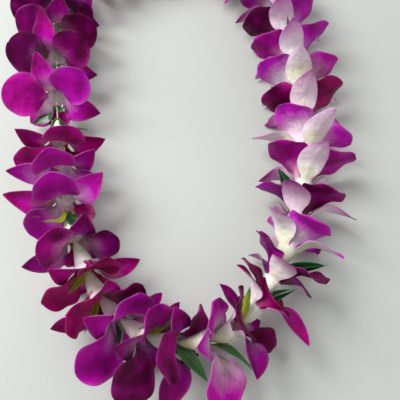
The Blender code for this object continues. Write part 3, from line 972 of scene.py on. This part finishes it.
def ply_curve(name, path, frames, turns, closed):
    """Three plies twisted together along a path of points, as one bevelled curve made a mesh."""
    radius = bpy.context.scene.lei_sizes.ply_radius
    curve = bpy.data.curves.new(name, "CURVE")
    curve.dimensions = "3D"
    curve.bevel_depth = radius
    curve.bevel_resolution = 1
    curve.use_fill_caps = True
    count = len(path)
    for ply in range(3):
        spline = curve.splines.new("POLY")
        spline.points.add(count - 1)
        for k in range(count):
            a = 2 * math.pi * (turns * k / count + ply / 3)
            first, second = frames[k]
            point = path[k] + PLY_OFFSET * radius / MM * (math.cos(a) * first + math.sin(a) * second)
            spline.points[k].co = (*point * MM, 1.0)
        spline.use_cyclic_u = closed
    only(placed(name, curve))
    bpy.ops.object.convert(target="MESH")
    return bpy.context.object


def knot_loops():
    """The trefoil that the thread's two ends are tied in."""
    axis, level, up = frame_at(KNOT_STATION)
    centre = thread_point(KNOT_STATION)
    path = []
    frames = []
    for k in range(KNOT_STEPS):
        a = 2 * math.pi * k / KNOT_STEPS
        around = math.cos(2 * a) * level + math.sin(2 * a) * up
        radius = KNOT_LOOPS + KNOT_SWING * math.cos(3 * a)
        path.append(centre + radius * around + KNOT_REACH * math.sin(3 * a) * axis)
        frames.append((around, axis))
    return ply_curve("thread_knot_loops", path, frames, KNOT_TURNS, True)


def knot_tail(direction):
    """One cut end of the thread, which leaves the knot sideways and droops."""
    axis, _, up = frame_at(KNOT_STATION)
    out = turned(up, axis, direction)
    root = thread_point(KNOT_STATION) + TAIL_ALONG * axis + TAIL_OUT * out
    path = []
    for i in range(TAIL_STEPS):
        s = i / (TAIL_STEPS - 1)
        angle = math.radians(TAIL_ANGLES[0] * (1 - s) + TAIL_ANGLES[1] * s)
        along = math.sin(angle) * out + math.cos(angle) * axis
        path.append(root + TAIL_LENGTH * s * along - TAIL_DROOP * s * s * up)
    frames = [(unit(np.cross(out, axis)), axis)] * TAIL_STEPS
    return ply_curve("thread_tail", path, frames, TAIL_TURNS, False)


def make_all(count, make, grids, materials, thickness):
    """Makes every blossom or every leaf from flat grids, and removes the grids."""
    patterns = {name: flat_grid(f"{name}_pattern", *size) for name, size in grids.items()}
    for number in range(count):
        make(number, patterns, materials, thickness)
    for pattern in patterns.values():
        bpy.data.objects.remove(pattern)


# ---- the stage ----
def lay_table(size, material):
    deselect()
    bpy.ops.mesh.primitive_plane_add(size=size, location=(0, 0, 0))
    floor = bpy.context.object
    floor.name = "table_top"
    floor.data.materials.append(material)


def let_in_daylight(colour):
    world = bpy.data.worlds.new("daylight")
    world.use_nodes = True
    bpy.context.scene.world = world
    fill(world.node_tree, world.node_tree.nodes["Background"], {
        "Color": colour, "Strength": SKY_STRENGTH})


def hang_lamp(name, lamp, colour):
    """Hangs a square soft lamp, turned to the middle of the lei."""
    place, power, size = lamp
    light = bpy.data.lights.new(name, "AREA")
    light.energy = power
    light.size = size
    light.color = colour[:3]
    made = placed(name, light)
    made.location = place
    made.rotation_euler = (-Vector(place)).to_track_quat("-Z", "Y").to_euler()


def place_camera(distance):
    """Places the camera high over the lei's near end, looking down and a little to the far end."""
    tilt = math.radians(CAMERA_TILT)
    away = Vector((0.0, -math.cos(tilt), math.sin(tilt)))
    camera = placed("camera", bpy.data.cameras.new("camera"))
    camera.data.lens = CAMERA_LENS
    camera.data.clip_start = CAMERA_NEAR
    camera.location = Vector(CAMERA_AIM) + away * distance
    camera.rotation_euler = (-away).to_track_quat("-Z", "Y").to_euler()
    bpy.context.scene.camera = camera


# ---- the add-on ----
def length(name, default, description):
    return FloatProperty(name=name, description=description, default=default, min=0.0001,
                         precision=4, unit="LENGTH", subtype="DISTANCE")


def colour(name, code, description):
    return FloatVectorProperty(name=name, description=description, default=linear(code), size=4,
                               min=0.0, max=1.0, subtype="COLOR")


class LeiSizes(bpy.types.PropertyGroup):
    """Sizes that the lei's sheets and its picture share"""

    petal_thickness: length("Petal thickness", 0.0005, "Thickness of the flowers' tissue")
    leaf_thickness: length("Leaf thickness", 0.0005, "Thickness of a leaf's blade")
    ply_radius: length("Ply radius", 0.00026, "Radius of each of the thread's three plies")
    table_size: length("Table size", 6.0, "Side of the table top")
    camera_distance: length("Camera distance", 0.39, "From the camera to the lei")


class LeiColours(bpy.types.PropertyGroup):
    """Colours of the lei's tissues, leaves and thread, and of the table and the daylight"""

    petal: colour("Petal", "#D012C2", "Inner face of a petal")
    petal_deep: colour("Petal, deep", "#B806A0", "Inner face of a petal, past its middle")
    petal_base: colour("Petal base", "#F0E0EC", "Where a petal leaves the tube")
    petal_back: colour("Petal back", "#CE20CA", "Outer face of a petal")
    petal_back_deep: colour("Petal back, deep", "#B60AA6", "Outer face of a petal, past its middle")
    petal_back_pale: colour("Petal back, pale", "#D88CD2", "Petal just past its base")
    petal_rim: colour("Petal rim", "#CC6CC0", "Thin margin of a petal")
    petal_vein: colour("Petal vein", "#66065C", "Veins of a petal")
    sepal_white: colour("Sepal white", "#F5EFEE", "Outer face of a sepal near its base")
    sepal_pale: colour("Sepal pale", "#F0D8EA", "Outer face of a sepal at its middle")
    sepal_lilac: colour("Sepal lilac", "#DC96D2", "Outer face of a sepal past its middle")
    sepal_tip: colour("Sepal tip", "#A82E96", "Outer face of a sepal at its tip")
    sepal_deep: colour("Sepal, deep", "#A80486", "Inner face of a sepal")
    sepal_rim: colour("Sepal rim", "#E6B0E0", "Thin margin of a sepal")
    sepal_vein: colour("Sepal vein", "#C890C0", "Veins of a sepal's outer face")
    crimson_tint: colour("Crimson tint", "#E42470", "What warms a blossom to crimson")
    # Partly the flower's own maroon and partly painted shade.
    maroon_and_shade_tint: colour("Maroon tint", "#5A1838", "What deepens a blossom to maroon")
    lip_pink: colour("Lip pink", "#C0109A", "Lip's blade")
    lip_deep: colour("Lip, deep", "#B00880", "Lip's middle")
    lip_pale: colour("Lip, pale", "#DC7CC4", "Lip's margin")
    lip_blush: colour("Lip blush", "#D8506A", "Lip near its throat")
    lip_throat: colour("Lip throat", "#F1E0B0", "Lip's creamy throat")
    lip_vein: colour("Lip vein", "#7C0450", "Veins of the lip")
    tube_white: colour("Tube white", "#F6F3EA", "Tube near its mouth")
    tube_green: colour("Tube green-white", "#E6EACC", "Middle of the tube")
    tube_back: colour("Tube green", "#C3D08E", "Tube's narrow end")
    column_white: colour("Column white", "#F3EEE6", "Waxy column")
    column_cap: colour("Column cap", "#C95BB5", "Cap of the column")
    leaf_green: colour("Leaf green", "#0C3C1E", "Top of a leaf")
    leaf_dark: colour("Leaf dark", "#08301A", "Tip of a leaf")
    leaf_young: colour("Leaf young green", "#2C6A30", "Leaf near its stalk")
    leaf_under: colour("Leaf underside", "#5C8A4A", "Underside of a leaf")
    leaf_rib: colour("Leaf rib", "#4C8A48", "Midrib of a leaf")
    # Partly the leaf's own pale edge and partly a painted highlight along it.
    leaf_margin_highlight: colour("Leaf margin", "#7FB98C", "Pale margin of a leaf")
    leaf_yellow: colour("Leaf yellow", "#C6C04A", "Oldest part of a yellowed leaf")
    leaf_lime: colour("Leaf lime", "#A0A824", "Blade of a yellowed leaf")
    cotton: colour("Cotton", "#EEE9DC", "Lit strands of the thread")
    cotton_shade: colour("Cotton shade", "#C9C2AE", "Strands between them")
    table: colour("Table", "#BDC0BA", "Table top")
    table_shade: colour("Table shade", "#B7BAB4", "Table top's darker drift")
    sky: colour("Sky", "#F2F5FA", "Even daylight from all round")
    window: colour("Window", "#FFFFFF", "Light from the window")
    bounce: colour("Bounce", "#FFF4EC", "Light back from the room")


class LEI_OT_thread(bpy.types.Operator):
    """Builds the cotton thread, closed all round the lei"""

    bl_idname = "lei.thread"
    bl_label = "Thread"

    def execute(self, context):
        stations = [THREAD_LENGTH * k / THREAD_STEPS for k in range(THREAD_STEPS)]
        path = [thread_point(s) for s in stations]
        frames = [frame_at(s)[1:] for s in stations]
        made = ply_curve("lei_thread_twine", path, frames, THREAD_TURNS, True)
        made.data.materials.append(cotton_twine(context.scene.lei_colours))
        finished(made, "lei_thread")
        return {"FINISHED"}


class LEI_OT_knot(bpy.types.Operator):
    """Builds the knot that closes the thread, with its two cut ends"""

    bl_idname = "lei.knot"
    bl_label = "Knot"

    def execute(self, context):
        loops = [knot_loops(), *[knot_tail(direction) for direction in TAIL_DIRECTIONS]]
        made = joined(loops, "thread_knot_twine")
        made.data.materials.append(cotton_twine(context.scene.lei_colours))
        finished(made, "thread_knot")
        return {"FINISHED"}


class LEI_OT_blossoms(bpy.types.Operator):
    """Builds every blossom of the lei"""

    bl_idname = "lei.blossoms"
    bl_label = "Blossoms"

    def execute(self, context):
        grids = {"segment": (ACROSS, ALONG), "tube": (6 * ACROSS, TUBE_ROWS)}
        make_all(len(BLOSSOMS), make_blossom, grids, flower_materials(context.scene.lei_colours),
                 context.scene.lei_sizes.petal_thickness)
        return {"FINISHED"}


class LEI_OT_leaves(bpy.types.Operator):
    """Builds every leaf that the thread pierces between the blossoms"""

    bl_idname = "lei.leaves"
    bl_label = "Leaves"

    def execute(self, context):
        grids = {"leaf": (ACROSS, LEAF_ALONG), "stalk": (ACROSS, HEEL_ALONG),
                 "eye": (6 * ACROSS, EYE_ROWS)}
        make_all(len(LEAVES), make_leaf, grids, leaf_materials(context.scene.lei_colours),
                 context.scene.lei_sizes.leaf_thickness)
        return {"FINISHED"}


class LEI_OT_stage(bpy.types.Operator):
    """Sets the table, the soft daylight and the camera"""

    bl_idname = "lei.stage"
    bl_label = "Table, light and camera"

    def execute(self, context):
        sizes, colours = context.scene.lei_sizes, context.scene.lei_colours
        lay_table(sizes.table_size, table_laminate(colours))
        let_in_daylight(colours.sky)
        hang_lamp("window", WINDOW, colours.window)
        hang_lamp("bounce", BOUNCE, colours.bounce)
        place_camera(sizes.camera_distance)
        context.scene.view_settings.view_transform = "Standard"
        return {"FINISHED"}


class LEI_PT_panel(bpy.types.Panel):
    """Lists the lei's pieces in the order in which they are built"""

    bl_idname = "LEI_PT_panel"
    bl_label = "Flower Lei"
    bl_space_type = "VIEW_3D"
    bl_region_type = "UI"
    bl_category = "Lei"

    def draw(self, context):
        for group in (context.scene.lei_sizes, context.scene.lei_colours):
            for name in type(group).__annotations__:
                self.layout.prop(group, name)
        for step in STEPS:
            self.layout.operator(step.bl_idname)


STEPS = (LEI_OT_thread, LEI_OT_knot, LEI_OT_blossoms, LEI_OT_leaves, LEI_OT_stage)
CLASSES = (LeiSizes, LeiColours, *STEPS, LEI_PT_panel)


def register():
    for made in CLASSES:
        bpy.utils.register_class(made)
    bpy.types.Scene.lei_sizes = PointerProperty(type=LeiSizes)
    bpy.types.Scene.lei_colours = PointerProperty(type=LeiColours)


def unregister():
    del bpy.types.Scene.lei_colours
    del bpy.types.Scene.lei_sizes
    for made in reversed(CLASSES):
        bpy.utils.unregister_class(made)


def main():
    register()
    bpy.ops.lei.thread()
    bpy.ops.lei.knot()
    bpy.ops.lei.blossoms()
    bpy.ops.lei.leaves()
    bpy.ops.lei.stage()


if __name__ == "__main__":
    main()
